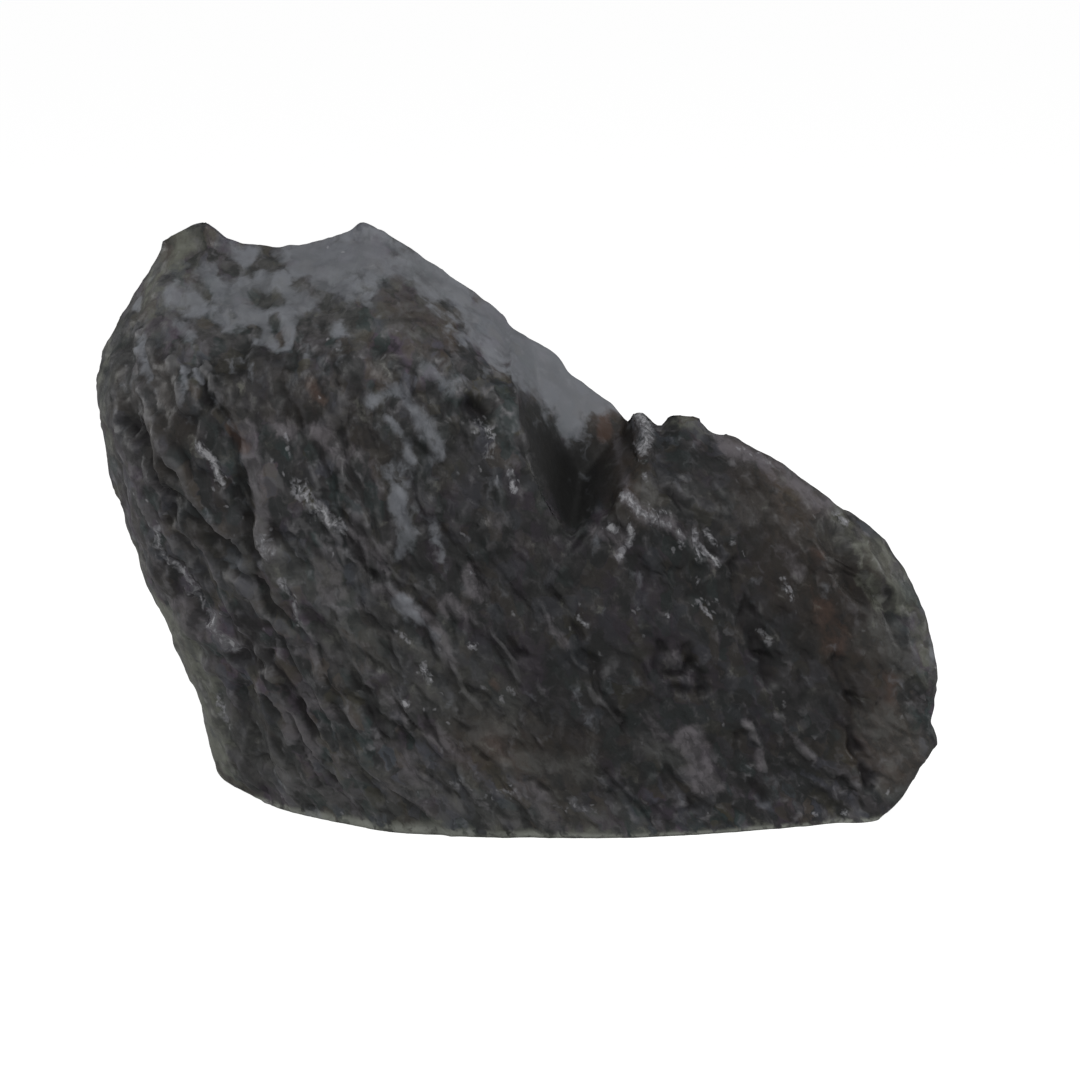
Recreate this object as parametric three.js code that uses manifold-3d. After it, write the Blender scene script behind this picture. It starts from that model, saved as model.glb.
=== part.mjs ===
// Dragon stone: one dark, foliated rock that stands on a flat sawn base.
// +X runs along the stone, -Y comes out of its broad face and +Z is up.
// The origin is on the sawn base, under the middle of the stone's box. Millimetres.
//
// The stone is a pillow between two relief surfaces, both worked out over one outline that is drawn
// in the XZ plane. Every point (x, z) inside the outline has a front depth and a back depth in Y.
// Each depth follows a few cleavage planes and is rounded over towards the rim. A wedge cut out of
// the pillow leaves the cleft behind the low lobe.
import * as THREE from "three";
import { ConvexGeometry } from "three/addons/geometries/ConvexGeometry.js";
import { LoftGeometry } from "three/addons/geometries/LoftGeometry.js";
import { mergeVertices } from "three/addons/utils/BufferGeometryUtils.js";
import Module from "manifold-3d";

// Driving dimensions.
const RIM_RADIUS = 9; // how far in from the rim a face reaches its full depth
const THINNEST = 5; // least depth from the rim's own sheet to either face, away from the rim
const CREASE = 4; // how softly two cleavage planes meet
const COLUMNS = 80; // slices from the left end to the right end
const ROWS = 29; // steps from the sawn base up to the crest, on each face
const RIM_STEPS = 80; // straight steps that stand for each edge when a distance to it is measured

// The rim, where the front and the back meet, as x, y, z. It runs up the left edge, along the crest
// with its two horns and the low lobe on the right, and down the right edge.
const LEFT_EDGE = [
  [-61, -3, 0],
  [-66, 0, 1.5],
  [-71.5, 3, 4],
  [-73.5, 4, 9],
  [-75.5, 6, 19.5],
  [-80, 7, 32],
  [-85.5, 8, 43.5],
  [-90.5, 9, 54],
  [-94.5, 9, 68],
  [-98, 10, 87],
  [-100, 10, 98],
  [-98.5, 10, 105],
  [-93.5, 11, 115.5],
  [-87.5, 12, 125],
  [-84.5, 12, 130],
  [-83.5, 10, 133.5],
];
const CREST = [
  [-83.5, 10, 133.5],
  [-79.5, 10, 135.5],
  [-75, 10, 137.7],
  [-72, 10, 137.9],
  [-67, 10, 134.3],
  [-58, 10, 132.3],
  [-53.5, 10, 132.8],
  [-48.5, 10, 133],
  [-40, 10, 135.5],
  [-35, 9, 138],
  [-27, 9, 133.5],
  [-19.5, 9, 128.5],
  [-14, 9, 125],
  [-4, 9, 117.6],
  [-0.5, 10, 113],
  [4, 12, 109.8],
  [10, 12, 105.5],
  [13.5, 12, 101],
  [23, 12, 93.9],
  [26.5, 8, 91],
  [27.5, -2, 94.3],
  [30, -4, 94.7],
  [33.5, -5, 92],
  [36, -5, 94.3],
  [39, -6, 94.9],
  [42.5, -6, 94.1],
  [46, -6, 90.8],
  [50, -6, 90.3],
  [54, -6, 88.3],
  [63, -7, 83.1],
  [72, -8, 76.3],
  [80, -8, 71.2],
  [87, -9, 66],
];
const RIGHT_EDGE = [
  [85, -17, 0],
  [90, -16, 5.5],
  [96, -14, 13],
  [100, -13, 17.5],
  [98, -12, 23.5],
  [99.3, -11, 30],
  [98.2, -11, 40],
  [96.5, -10, 48],
  [93.5, -10, 55.5],
  [87, -9, 66],
];

// Cleavage planes: a point on each and the way it faces. The stone lies behind its front planes and
// in front of its back planes. Above the broad face, the body and the lobe have shoulders of their
// own, and the two together are the stone.
const BROAD_PLANES = [
  { at: [0, -38, 40], facing: [0, -1, -0.03] }, // broad face
  { at: [-40, -23, 0], facing: [-0.57, -0.75, -0.34] }, // broad face, turned to the left foot
  { at: [60, -27, 30], facing: [0.3, -0.95, -0.03] }, // broad face, turned to the right end
  { at: [93, -22, 36], facing: [0.84, -0.52, 0.12] }, // right flank
  { at: [-15, -33, 0], facing: [-0.1, -0.93, -0.35] }, // foot, tucked in under the broad face
];
const BODY_PLANES = [
  ...BROAD_PLANES,
  { at: [-84, -18, 60], facing: [-0.9, -0.36, -0.26] }, // left flank, below its widest point
  { at: [-90, -14, 110], facing: [-0.76, -0.5, 0.36] }, // left flank, above it
  { at: [-55, -15, 122], facing: [-0.06, -0.46, 0.88] }, // shoulder under the horns
  { at: [-14, 4, 124], facing: [0.56, -0.28, 0.78] }, // shoulder under the long slope
  { at: [-10, -37, 92], facing: [0.18, -0.94, 0.28] }, // broad face, turned up to that shoulder
];
const LOBE_PLANES = [
  ...BROAD_PLANES,
  { at: [62, -23, 76], facing: [0.39, -0.54, 0.74] }, // shoulder of the lobe
  { at: [8, -34, 66], facing: [-0.75, -0.16, 0.64] }, // left end, towards the cleft
];
const BACK_PLANES = [
  { at: [-10, 38, 40], facing: [0.04, 0.98, 0.12] }, // back face
  { at: [-62, 32, 60], facing: [-0.5, 0.86, 0.02] }, // back face, turned left
  { at: [-84, 22, 60], facing: [-0.93, 0.3, -0.26] }, // left flank
  { at: [-66, 26, 122], facing: [-0.2, 0.6, 0.78] }, // back of the horns
  { at: [0, 27, 98], facing: [0.42, 0.6, 0.68] }, // back of the long slope
  { at: [62, 14, 66], facing: [0.42, 0.6, 0.68] }, // back of the lobe
  { at: [62, 31, 30], facing: [0.26, 0.96, 0.1] }, // back of the lobe, below
  { at: [90, 8, 30], facing: [0.86, 0.5, 0.1] }, // right flank
];

// The corners of the wedge that is cut out behind the lobe. It opens to the front and upwards.
const CLEFT_CORNERS = [
  [12, -60, 74], // bottom of the V, in front of the stone
  [12.5, -9, 69.5], // bottom of the V, where it meets the back wall
  [-5.5, -60, 98.5], // wall along the broad face, up to its bend
  [5, 4.5, 97],
  [-7, -60, 122.5], // wall along the broad face, above its bend
  [3, 19.5, 122],
  [29, -60, 87.5], // wall along the lobe
  [27, 10, 87.5],
  [27, -60, 104], // side of the knob on the lobe
  [27, 20, 104],
];

const toVectors = (points) => points.map((p) => new THREE.Vector3(...p));

function splineThrough(points) {
  const curve = new THREE.CatmullRomCurve3(toVectors(points), false, "catmullrom", 0.5);
  curve.arcLengthDivisions = 20 * points.length;
  return curve;
}

const leftEdge = splineThrough(LEFT_EDGE);
const crest = splineThrough(CREST);
const rightEdge = splineThrough(RIGHT_EDGE);
const sawnEdge = new THREE.LineCurve3(leftEdge.getPoint(0), rightEdge.getPoint(0));

const rim = [leftEdge, crest, rightEdge].flatMap((edge) => edge.getSpacedPoints(RIM_STEPS));

// How far a point of the XZ plane lies inside the rim.
function distanceToRim(x, z) {
  return Math.min(...rim.map((p) => Math.hypot(p.x - x, p.z - z)));
}

// Y of a plane at (x, z).
function planeDepth({ at, facing }, x, z) {
  return at[1] - (facing[0] * (x - at[0]) + facing[2] * (z - at[2])) / facing[1];
}

// Smooth maximum: the log of a sum of exponentials, CREASE millimetres soft.
function smoothMax(values) {
  const top = Math.max(...values);
  const sum = values.reduce((total, v) => total + Math.exp((v - top) / CREASE), 0);
  return top + CREASE * Math.log(sum);
}

// Y of the surface that lies just behind every plane of a list.
const behindAll = (planes, x, z) => smoothMax(planes.map((plane) => planeDepth(plane, x, z)));

const frontDepth = (x, z) => Math.min(behindAll(BODY_PLANES, x, z), behindAll(LOBE_PLANES, x, z));
const backDepth = (x, z) => -smoothMax(BACK_PLANES.map((plane) => -planeDepth(plane, x, z)));

// A point of the sheet that is stretched over the outline: the four edges are blended linearly
// across it, and the corners, which that counts twice, are taken off again.
function sheetPoint(u, w) {
  const point = new THREE.Vector3();
  point.addScaledVector(sawnEdge.getPointAt(u), 1 - w).addScaledVector(crest.getPointAt(u), w);
  point.addScaledVector(leftEdge.getPointAt(w), 1 - u).addScaledVector(rightEdge.getPointAt(w), u);
  point.addScaledVector(leftEdge.getPoint(0), -(1 - u) * (1 - w));
  point.addScaledVector(rightEdge.getPoint(0), -u * (1 - w));
  point.addScaledVector(crest.getPoint(0), -(1 - u) * w);
  point.addScaledVector(crest.getPoint(1), -u * w);
  return point;
}

// Moves a sheet point out to a face. Nothing moves on the rim, and the full depth is reached
// RIM_RADIUS inside it, along a quarter of a circle. side is -1 for the front and 1 for the back.
function facePoint(u, w, depthAt, side) {
  const point = sheetPoint(u, w);
  if (u === 0 || u === 1 || w === 1) return point;
  const inwards = Math.min(distanceToRim(point.x, point.z) / RIM_RADIUS, 1);
  const fullness = Math.sqrt(1 - (1 - inwards) ** 2);
  const thickness = Math.max(side * (depthAt(point.x, point.z) - point.y), THINNEST);
  point.y += side * thickness * fullness;
  return point;
}

// Steps from 0 to 1, closer together at both ends, where the surface turns away.
const stepsTo = (count) =>
  Array.from({ length: count + 1 }, (_, i) => {
    const t = i / count;
    return 0.45 * t + 0.55 * THREE.MathUtils.smoothstep(t, 0, 1);
  });

// One slice of the stone: up the back from the base, over the crest and down the front.
function slice(u) {
  const back = stepsTo(ROWS).map((w) => facePoint(u, w, backDepth, 1));
  const front = stepsTo(ROWS).map((w) => facePoint(u, w, frontDepth, -1)).reverse();
  return [...back, ...front.slice(1)];
}

// Leaves out the triangles that closed up where the slices shrink to a line at the two ends.
function withoutSlivers(geometry) {
  const corners = geometry.index.array;
  const kept = [];
  for (let i = 0; i < corners.length; i += 3) {
    const [a, b, c] = corners.subarray(i, i + 3);
    if (a !== b && b !== c && c !== a) kept.push(a, b, c);
  }
  return geometry.setIndex(kept);
}

const wasm = await Module();
wasm.setup();

function toSolid(geometry) {
  const surface = new THREE.BufferGeometry().setIndex(geometry.index);
  surface.setAttribute("position", geometry.getAttribute("position"));
  const merged = withoutSlivers(mergeVertices(surface, 1e-3));
  return new wasm.Manifold(
    new wasm.Mesh({
      numProp: 3,
      vertProperties: merged.getAttribute("position").array,
      triVerts: new Uint32Array(merged.index.array),
    }),
  );
}

function toGeometry(solid) {
  const mesh = solid.getMesh();
  const geometry = new THREE.BufferGeometry();
  geometry.setAttribute("position", new THREE.BufferAttribute(mesh.vertProperties, 3));
  geometry.setIndex(new THREE.BufferAttribute(mesh.triVerts, 1));
  return geometry;
}

function stoneGeometry() {
  const pillow = toSolid(new LoftGeometry(stepsTo(COLUMNS).map((u) => slice(u))));
  const wedge = toSolid(new ConvexGeometry(toVectors(CLEFT_CORNERS)));
  const stone = toGeometry(pillow.subtract(wedge));
  stone.computeBoundingBox();
  const middle = stone.boundingBox.getCenter(new THREE.Vector3());
  stone.translate(-middle.x, -middle.y, -stone.boundingBox.min.z);
  stone.computeVertexNormals();
  return stone;
}

const darkRock = new THREE.MeshStandardMaterial({ color: 0x3a3a3c, roughness: 0.6, metalness: 0 });

const stone = new THREE.Mesh(stoneGeometry(), darkRock);
stone.name = "stone";

const dragonStone = new THREE.Group();
dragonStone.add(stone);

export default dragonStone;
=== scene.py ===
import bmesh
import bpy
import numpy as np
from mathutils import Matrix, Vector


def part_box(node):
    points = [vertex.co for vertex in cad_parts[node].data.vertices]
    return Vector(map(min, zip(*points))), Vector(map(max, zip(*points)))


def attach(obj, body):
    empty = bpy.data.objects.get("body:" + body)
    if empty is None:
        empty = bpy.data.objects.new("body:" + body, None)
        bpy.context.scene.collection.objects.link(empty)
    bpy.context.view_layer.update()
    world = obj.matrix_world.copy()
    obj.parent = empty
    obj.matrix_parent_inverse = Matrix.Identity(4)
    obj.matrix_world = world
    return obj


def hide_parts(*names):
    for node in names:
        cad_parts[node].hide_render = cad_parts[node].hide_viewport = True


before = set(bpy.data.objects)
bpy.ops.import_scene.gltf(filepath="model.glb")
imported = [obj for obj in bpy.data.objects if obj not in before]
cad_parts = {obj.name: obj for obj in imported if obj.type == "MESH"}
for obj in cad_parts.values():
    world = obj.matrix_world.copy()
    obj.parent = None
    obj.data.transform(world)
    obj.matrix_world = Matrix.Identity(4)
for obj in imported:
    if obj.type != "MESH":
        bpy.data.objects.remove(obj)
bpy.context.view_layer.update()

# ------------------------------------------------------------
# The body of the stone: one slab of dark schist, split along its cleavage and sawn flat underneath.
# It is a pillow between a front and a back surface, both worked out over one outline drawn in the
# XZ plane. All lengths are millimetres here, and become metres when the mesh is made.

MM = 0.001

# The outline: from the base up on the left, from the base up on the right, and over the crest from
# the one to the other. Y says where the rim lies between the front and the back.
LEFT_EDGE = [
    (-61, -3, 0), (-66, 0, 1.5), (-71.5, 3, 4), (-73.5, 4, 9), (-75.5, 6, 19.5), (-80, 7, 32),
    (-85.5, 8, 43.5), (-90.5, 9, 54), (-94.5, 9, 68), (-98, 10, 87), (-100, 10, 98),
    (-98.5, 10, 105), (-93.5, 11, 115.5), (-87.5, 12, 125), (-84.5, 12, 130), (-83.5, 10, 133.5),
]
RIGHT_EDGE = [
    (86, -17, 0), (91.3, -16, 4.8), (96.6, -14, 12.3), (99.6, -13, 16), (99.7, -12, 19.5),
    (98.4, -12, 22.7), (99.5, -11, 26.5), (98.6, -11, 38), (96.5, -10, 48), (93.5, -10, 55.5),
    (87, -9, 66),
]
CREST = [
    LEFT_EDGE[-1], (-79.5, 10, 135.5), (-75, 10, 137.7), (-72, 10, 137.9),
    (-67, 10, 134.3), (-58, 10, 132.3), (-53.5, 10, 132.8), (-48.5, 10, 133), (-40, 10, 135.5),
    (-35, 9, 138), (-27, 9, 133.5), (-19.5, 9, 128.5), (-14, 9, 125), (-4, 9, 117.6),
    (-0.5, 10, 113), (4, 12, 109.8), (10, 12, 105.5), (13.5, 12, 101), (23, 12, 93.9),
    (26.5, 8, 91), (27.5, -2, 94.3), (30, -4, 94.7), (33.5, -5, 92), (36, -5, 94.3),
    (39, -6, 94.9), (42.5, -6, 94.1), (46, -6, 90.8), (50, -6, 90.3), (54, -6, 88.3),
    (63, -7, 83.1), (72, -8, 76.3), (80, -8, 71.2), RIGHT_EDGE[-1],
]

# Cleavage planes, as a point and the way the plane faces.
BROAD_PLANES = [
    ((0, -38, 40), (0, -1, -0.03)),  # broad face
    ((-40, -23, 0), (-0.57, -0.75, -0.34)),  # broad face, turned to the left foot
    ((60, -27, 30), (0.3, -0.95, -0.03)),  # broad face, turned to the right end
    ((93, -22, 36), (0.84, -0.52, 0.12)),  # right flank
    ((-15, -33, 0), (-0.1, -0.93, -0.35)),  # foot, tucked in under the broad face
]
BODY_PLANES = BROAD_PLANES + [
    ((-84, -18, 60), (-0.9, -0.36, -0.26)),  # left flank, below its widest point
    ((-90, -14, 110), (-0.76, -0.5, 0.36)),  # left flank, above it
    ((-55, -15, 122), (-0.06, -0.46, 0.88)),  # shoulder under the horns
    ((-14, 4, 124), (0.56, -0.28, 0.78)),  # shoulder under the long slope
    ((-10, -37, 92), (0.18, -0.94, 0.28)),  # broad face, turned up to that shoulder
]
LOBE_PLANES = BROAD_PLANES + [
    ((62, -23, 76), (0.39, -0.54, 0.74)),  # shoulder of the lobe
    ((8, -34, 66), (-0.75, -0.16, 0.64)),  # left end of the lobe, towards the cleft
]
BACK_PLANES = [
    ((-10, 38, 40), (0.04, 0.98, 0.12)),  # back face
    ((-62, 32, 60), (-0.5, 0.86, 0.02)),  # back face, turned left
    ((-84, 22, 60), (-0.93, 0.3, -0.26)),  # left flank
    ((-66, 26, 122), (-0.2, 0.6, 0.78)),  # back of the horns
    ((0, 27, 98), (0.42, 0.6, 0.68)),  # back of the long slope
    ((62, 14, 66), (0.42, 0.6, 0.68)),  # back of the lobe
    ((62, 31, 30), (0.26, 0.96, 0.1)),  # back of the lobe, below
    ((90, 8, 30), (0.86, 0.5, 0.1)),  # right flank
]
CREASE = 4.0  # how softly two planes meet
RIM_RADIUS = 9.0  # how far in from the rim a face reaches its full depth
THINNEST = 5.0  # least depth from the rim's own sheet to either face

# The cleft behind the lobe. Each of its lips is a point (x, z), the way into the cleft, and how far
# in the cleft is at its full depth. Its back wall is a point and a slope: it runs back as x and z grow.
CLEFT_LIPS = [
    ((12.2, 71.6), (0.89, 0.45), 6.5),  # along the broad face
    ((-1.1, 98.0), (1.0, 0.0), 7.0),  # the same, above its bend
    ((12.2, 71.6), (-0.7, 0.71), 3.2),  # along the lobe
    ((28.2, 87.5), (-1.0, -0.07), 3.5),  # side of the knob on the lobe
]
CLEFT_WALL = ((13.5, -9, 70.5), (0.52, 0.64))

SPLINE_STEPS = 40  # points worked out on a curve for each one that is given
SHEET_ROWS = 420  # rows of the sheet, before they are spaced evenly over the surface
RIM_SAMPLES = 140  # points on each edge of the rim, for the distance to it
CROWDED_ENDS = 0.08  # share of the columns, at each end, that stand closer together
COLUMNS = 300  # quads from the left end to the right end
FRONT_ROWS = 216  # quads from the base to the crest on the front
BACK_ROWS = FRONT_ROWS // 2  # and on the back, where every second row of the front meets one
BASE_ROWS = 8  # quads across the sawn base


def spline(points, s):
    """Catmull-Rom curve through the points, at the fractions s of its length. The curve is sampled
    densely, and a position at a given length is interpolated between the samples."""
    p = np.array(points, float)
    p = np.vstack([2 * p[0] - p[1], p, 2 * p[-1] - p[-2]])
    t = np.linspace(0, 1, SPLINE_STEPS, endpoint=False)[None, :, None]
    a, b, c, d = (p[i : len(p) - 3 + i, None, :] for i in range(4))
    squared, cubed = 2 * a - 5 * b + 4 * c - d, 3 * b - a - 3 * c + d
    curve = 0.5 * (2 * b + (c - a) * t + squared * t**2 + cubed * t**3)
    curve = np.vstack([curve.reshape(-1, 3), p[-2]])
    length = np.concatenate([[0], np.cumsum(np.linalg.norm(np.diff(curve, axis=0), axis=1))])
    return np.stack([np.interp(np.asarray(s) * length[-1], length, curve[:, k]) for k in range(3)], -1)


def sheet(u, w):
    """Point of the sheet stretched over the outline (a Coons patch): the blend of the base and the
    crest, plus the blend of the left and right edges, less the blend of the four corners."""
    u, w = u[:, None, None], w[None, :, None]
    base_left, base_right = np.array(LEFT_EDGE[0], float), np.array(RIGHT_EDGE[0], float)
    crest_left, crest_right = np.array(CREST[0], float), np.array(CREST[-1], float)
    base = base_left + (base_right - base_left) * u
    across = base * (1 - w) + spline(CREST, u[:, 0, 0])[:, None, :] * w
    up = spline(LEFT_EDGE, w[0, :, 0])[None] * (1 - u) + spline(RIGHT_EDGE, w[0, :, 0])[None] * u
    crest = crest_left + (crest_right - crest_left) * u
    return across + up - (base * (1 - w) + crest * w)


def distance_to_line(x, z, line):
    """Distance in the XZ plane from each (x, z) to a chain of straight pieces: the least distance to
    a piece, which is the distance to the foot of the perpendicular, held between the piece's ends."""
    nearest = np.full(np.shape(x), np.inf)
    line = np.asarray(line, float)
    for (ax, az), (bx, bz) in zip(line[:-1], line[1:]):
        dx, dz = bx - ax, bz - az
        t = np.clip(((x - ax) * dx + (z - az) * dz) / (dx * dx + dz * dz + 1e-12), 0, 1)
        nearest = np.minimum(nearest, (x - ax - t * dx) ** 2 + (z - az - t * dz) ** 2)
    return np.sqrt(nearest)


def smoothstep(low, high, value):
    """0 below low, 1 above high, and 3t^2 - 2t^3 between them."""
    t = np.clip((value - low) / (high - low), 0, 1)
    return t * t * (3 - 2 * t)


def plane_depth(plane, x, z):
    """Y of a plane at (x, z): the plane's equation, solved for y."""
    (px, py, pz), (fx, fy, fz) = plane
    return py - (fx * (x - px) + fz * (z - pz)) / fy


def behind_all(planes, x, z):
    """Y just behind every plane: CREASE times the log of the sum of exp(y / CREASE)."""
    depths = np.array([plane_depth(plane, x, z) for plane in planes])
    deepest = depths.max(0)
    return deepest + CREASE * np.log(np.exp((depths - deepest) / CREASE).sum(0))


def cleft_openness(x, z):
    """0 outside the V of the cleft, 1 once a point is past the banks of all of its lips."""
    banks = []
    for (px, pz), (into_x, into_z), bank in CLEFT_LIPS:
        banks.append(smoothstep(0, bank, into_x * (x - px) + into_z * (z - pz)))
    return np.min(banks, axis=0)


def uncut_depth(x, z):
    """Y of the front before the cleft: the nearer of the body and the lobe."""
    return np.minimum(behind_all(BODY_PLANES, x, z), behind_all(LOBE_PLANES, x, z))


def front_depth(x, z):
    """Y of the front, with the cleft's wall let in."""
    face = uncut_depth(x, z)
    (px, py, pz), (run_x, run_z) = CLEFT_WALL
    wall = py + run_x * (x - px) + run_z * (z - pz)
    return face + (np.maximum(wall, face) - face) * cleft_openness(x, z)


def back_depth(x, z):
    """Y of the back: just in front of every back plane."""
    mirrored = [((px, -py, pz), (fx, -fy, fz)) for (px, py, pz), (fx, fy, fz) in BACK_PLANES]
    return -behind_all(mirrored, x, z)


def even_rows(points, rows):
    """Resamples every column of points to evenly spaced rows. The columns' lengths, each scaled to 1
    and set 2 apart, are laid end to end, so that one interpolation serves them all."""
    step = np.linalg.norm(np.diff(points[..., :3], axis=1), axis=2)
    length = np.concatenate([np.zeros((len(points), 1)), np.cumsum(step, axis=1)], axis=1)
    start = 2.0 * np.arange(len(points))[:, None]
    known = length / length[:, -1:] + start
    wanted = np.linspace(0, 1, rows + 1)[None, :] + start
    parts = [np.interp(wanted, known.ravel(), points[..., k].ravel()) for k in range(points.shape[-1])]
    return np.stack(parts, -1)


def stone_faces():
    """The front and the back as grids (column, row) of x, y, z and the distance to the rim. A point
    is the sheet's point, moved in Y towards its face by the face's depth times sqrt(1 - (1 - m)^2),
    where m is the distance to the rim over RIM_RADIUS: a quarter of a circle. Columns crowd towards
    both ends, where the surface turns away."""
    t = np.linspace(0, 1, COLUMNS + 1)
    pace = np.minimum(1, np.minimum(t, 1 - t) / CROWDED_ENDS)
    u = np.concatenate([[0], np.cumsum((pace[1:] + pace[:-1]) / 2)])
    u /= u[-1]
    w = np.sin(np.linspace(0, np.pi / 2, SHEET_ROWS))
    x, y, z = np.moveaxis(sheet(u, w), -1, 0)
    s = np.linspace(0, 1, RIM_SAMPLES)
    rim = np.vstack([spline(LEFT_EDGE, s), spline(CREST, s)[1:], spline(RIGHT_EDGE, s[::-1])[1:]])
    inwards = distance_to_line(x, z, rim[:, [0, 2]])
    inwards[[0, -1], :] = 0
    inwards[:, -1] = 0
    fullness = np.sqrt(1 - (1 - np.clip(inwards / RIM_RADIUS, 0, 1)) ** 2)
    front_y = y - np.maximum(y - front_depth(x, z), THINNEST) * fullness
    back_y = y + np.maximum(back_depth(x, z) - y, THINNEST) * fullness
    front = even_rows(np.stack([x, front_y, z, inwards], -1), FRONT_ROWS)
    back = even_rows(np.stack([x, back_y, z, inwards], -1), BACK_ROWS)
    for end in (0, -1):
        front[end, 1::2] = front[end, :-1:2]  # the rows between are merged into those that meet
    return front, back


def unit(vectors):
    """Each vector over its own length."""
    return vectors / np.maximum(np.linalg.norm(vectors, axis=-1, keepdims=True), 1e-9)


def both_normals(front_face, back_face):
    """Unit normals of the front and the back: the cross product of a grid's two directions. Along the
    rim, where the two faces meet, both take the mean of the normals one step in from it."""
    front = unit(np.cross(np.gradient(front_face, axis=0), np.gradient(front_face, axis=1)))
    back = unit(np.cross(np.gradient(back_face, axis=1), np.gradient(back_face, axis=0)))
    for end, beside in ((0, 1), (-1, -2)):
        back[end] = front[beside, ::2] + back[beside]
        front[end, ::2] = back[end]
        front[end, 1::2] = back[end, :-1]
    front[:, -1] = back[:, -1] = front[:, -2] + back[:, -2]
    return unit(front), unit(back)


front_face, back_face = stone_faces()
front_normals, back_normals = both_normals(front_face[..., :3], back_face[..., :3])

# One ring for each column: up the back, over the crest, down the front.
rings = np.concatenate([back_face, front_face[:, -2::-1]], axis=1)
rings, inwards = rings[..., :3], rings[..., 3]
normals = np.concatenate([back_normals, front_normals[:, -2::-1]], axis=1)
# 1 on the front and 0 on the back, and the same with the front fading in from the rim.
front_only = np.concatenate([np.zeros(BACK_ROWS + 1), np.ones(FRONT_ROWS)])[None, :]
front_side = front_only * smoothstep(0, 5, inwards)

# ------------------------------------------------------------
# The broken, foliated relief. Schist breaks into long flakes and rods that all lie one way, down to
# the right. Each layer of the relief is a noise stretched along that grain and pushed out along the
# body's normals.

GRAIN_LEAN = 0.7  # how far the grain leans to the right as it runs down, at the base
GRAIN_BEND = 0.0019  # how much less it leans for each mm above the base


def grain_coordinates(p):
    """Across the grain, through the slab and along the grain, in mm. The grain leans further over
    towards the base, so the across coordinate bends: x, plus the lean times z, less the bend times
    z squared, all times 0.85 to bring it back to mm."""
    x, y, z = p[..., 0], p[..., 1], p[..., 2]
    return np.stack([0.85 * (x + GRAIN_LEAN * z - GRAIN_BEND * z * z), y, 0.45 * x - 0.89 * z], -1)


def lattice_random(cell, seed, channel):
    """A number from 0 to 1 for each whole-number lattice point: an integer hash of the point."""
    i, j, k = (cell[..., n].astype(np.int64) for n in range(3))
    h = i * 374761393 + j * 668265263 + k * 2147483647 + seed * 1274126177 + channel * 1103515245
    h = ((h ^ (h >> 13)) * 1274126177) & 0xFFFFFFFF
    h = ((h ^ (h >> 15)) * 2246822519) & 0xFFFFFFFF
    return ((h ^ (h >> 16)) & 0xFFFFFF) / float(0xFFFFFF)


def lattice_vector(cell, seed, channels=(0, 1, 2)):
    """Three such numbers at once, as a vector."""
    return np.stack([lattice_random(cell, seed, n) for n in channels], -1)


def noise(q, seed):
    """Gradient noise from about -1 to 1: at each corner of the lattice cell, a random gradient dotted
    with the way to the point, blended with 6t^5 - 15t^4 + 10t^3 along each axis."""
    cell = np.floor(q)
    f = q - cell
    blend = f * f * f * (f * (f * 6 - 15) + 10)
    total = np.zeros(q.shape[:-1])
    for corner in np.ndindex(2, 2, 2):
        c = np.array(corner)
        gradient = lattice_vector(cell + c, seed) * 2 - 1
        weight = np.prod(np.where(c == 1, blend, 1 - blend), axis=-1)
        total += weight * np.sum(gradient * (f - c), axis=-1)
    return total * 1.6


def fractal(q, seed, octaves):
    """Sum of noises, each at twice the frequency and half the height of the one before."""
    return sum(noise(q * 2**n + 17.3 * n, seed + n) / 2**n for n in range(octaves))


def leaves(q, flat, seed, slant):
    """Cells round jittered lattice points. Each is a leaf of rock: a plane facet with a height and a
    tilt of its own, which mostly falls away across the grain, so that it stands up over the leaf to
    its left. The pushed coordinates q say which cell a point is in, for ragged edges, and the flat
    ones how far up the facet it is. Gives the facet's height, the gap between the nearest and the
    second nearest lattice point, which is 0 where two leaves meet, and the leaf's tone from 0 to 1.
    Two leaves are blended over the last of the gap."""
    cell = np.floor(q)
    near, height, tone = ([np.full(q.shape[:-1], start)] * 2 for start in (9.0, 0.0, 0.0))
    for step in np.ndindex(3, 3, 3):
        c = cell + np.array(step) - 1
        point = c + 0.1 + 0.8 * lattice_vector(c, seed)
        away = q - point
        distance = np.sqrt(np.sum(away * away, axis=-1))
        tilt = lattice_vector(c, seed, (3, 4, 5)) - 0.5
        up = np.sum(1.5 * tilt * (flat - point), axis=-1) - slant * (flat - point)[..., 0]
        facet = lattice_random(c, seed, 6) - 0.5 + up
        shade = lattice_random(c, seed, 7)
        closest = distance < near[0]
        second = ~closest & (distance < near[1])
        for kept, new in ((near, distance), (height, facet), (tone, shade)):
            kept[1] = np.where(closest, kept[0], np.where(second, new, kept[1]))
            kept[0] = np.where(closest, new, kept[0])
    gap = near[1] - near[0]
    share = 0.5 + 0.5 * smoothstep(0, 0.16, gap)
    facet, shade = (a[0] * share + a[1] * (1 - share) for a in (height, tone))
    return facet, gap, shade


def pushed(q, size, reach, seeds):
    """Coordinates pushed about by one noise for each axis, twice as far along the grain."""
    push = np.stack([noise(q / size, seed) for seed in seeds], -1)
    return q + reach * push * (1, 1, 2)


def thin_lines(q, size, half_width, where, seed):
    """1 on a scatter of thin lines, 0 elsewhere: the places where one noise passes through 0, kept
    only where a second noise is above where."""
    line = 1 - smoothstep(0, half_width, np.abs(noise(q / size, seed)))
    return line * smoothstep(where, where + 0.3, noise(q / (10, 10, 20), seed + 1))


def near_line(p, points, radius):
    """1 on a chain of straight pieces in the XZ plane, falling to 0 at the radius, and tapering off
    over the radius past its ends."""
    return np.clip(1 - distance_to_line(p[..., 0], p[..., 2], points) / radius, 0, 1)


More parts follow.
